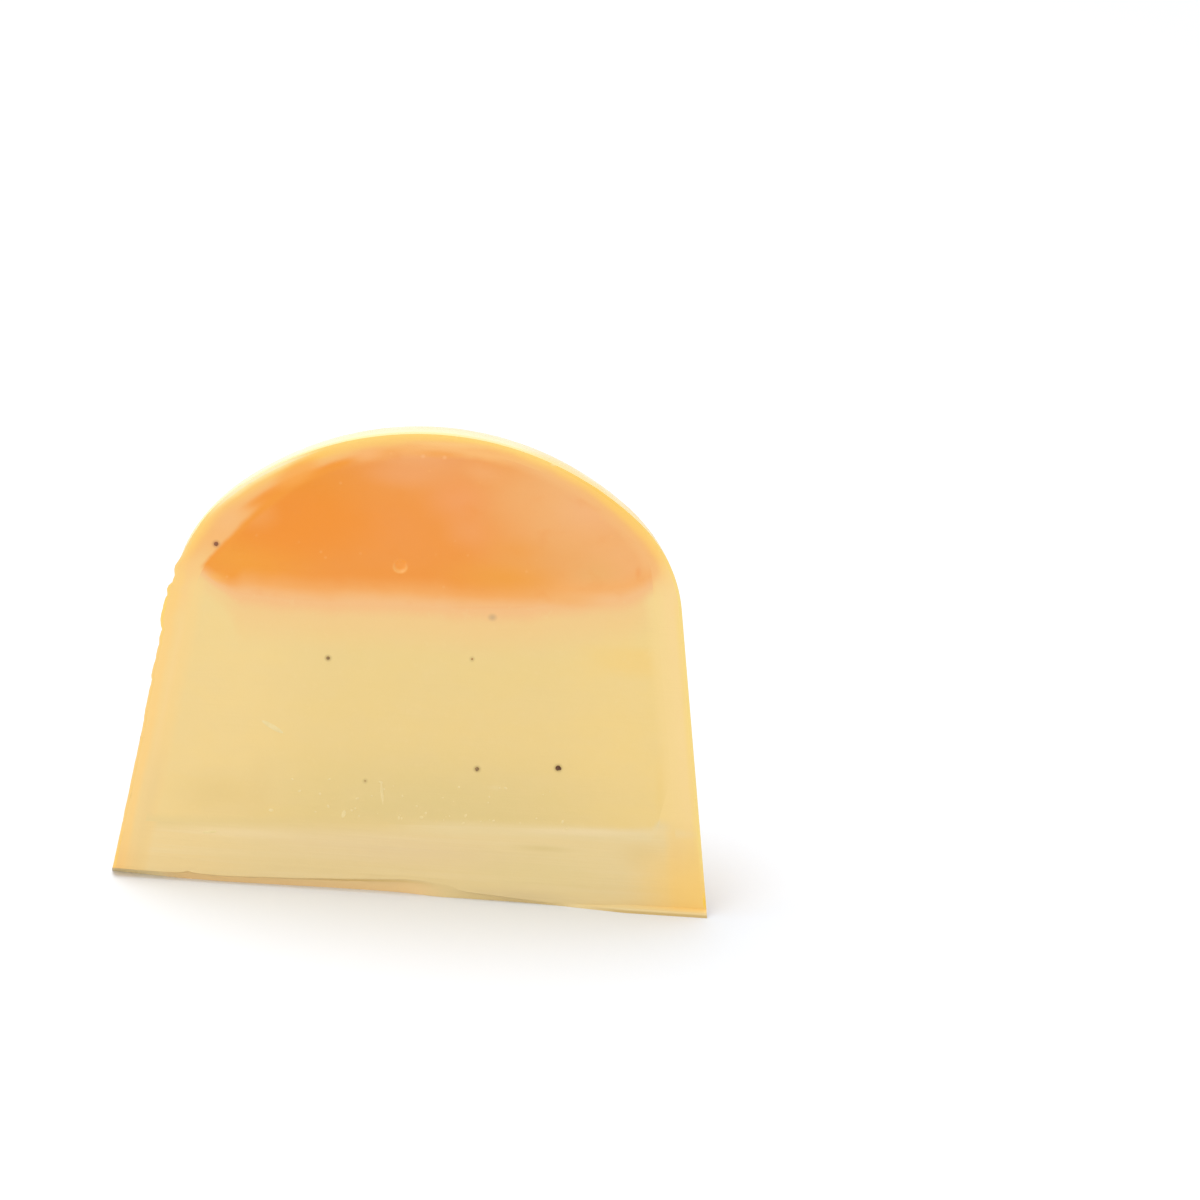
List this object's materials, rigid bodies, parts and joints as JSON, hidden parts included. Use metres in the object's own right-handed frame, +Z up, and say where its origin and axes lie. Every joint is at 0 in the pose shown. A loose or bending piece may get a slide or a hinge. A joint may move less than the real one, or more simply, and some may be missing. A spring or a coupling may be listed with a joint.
{
  "type": "half moulded chocolate bonbon",
  "caption": "Upright half of a domed, filled chocolate with a flat cut face that shows its painted coat, chocolate shell, orange fruit gel, pale vanilla ganache and base cap.",
  "frame": {"origin": "on the flat underside, in the middle of the half's width and depth", "axes": "+Z up along the dome's axis; the flat cut face looks along -Y and the round side along +Y; +X runs along the cut, towards the end where the gel is hazier"},
  "size_m": [0.0288, 0.0132, 0.0234],
  "materials": {
    "coat": "glossy golden-yellow cocoa butter with brushed white strokes and fine pale-gold flecks",
    "shell": "satin, slightly translucent peach-cream chocolate, smooth where moulded and finely dragged where cut",
    "fruit_gel": "moist translucent orange gel, hazier and pinker towards one side, softly wet on its cut face",
    "ganache": "soft, satin pale-yellow cream with dark vanilla specks",
    "base_cap": "satin pale chocolate with fine knife-drag lines, scraped flat underneath"
  },
  "bodies": {
    "root": {"coat": "coat", "shell": "shell", "fruit_gel": "fruit_gel", "ganache": "ganache", "base_cap": "base_cap"}
  },
  "joints": []
}
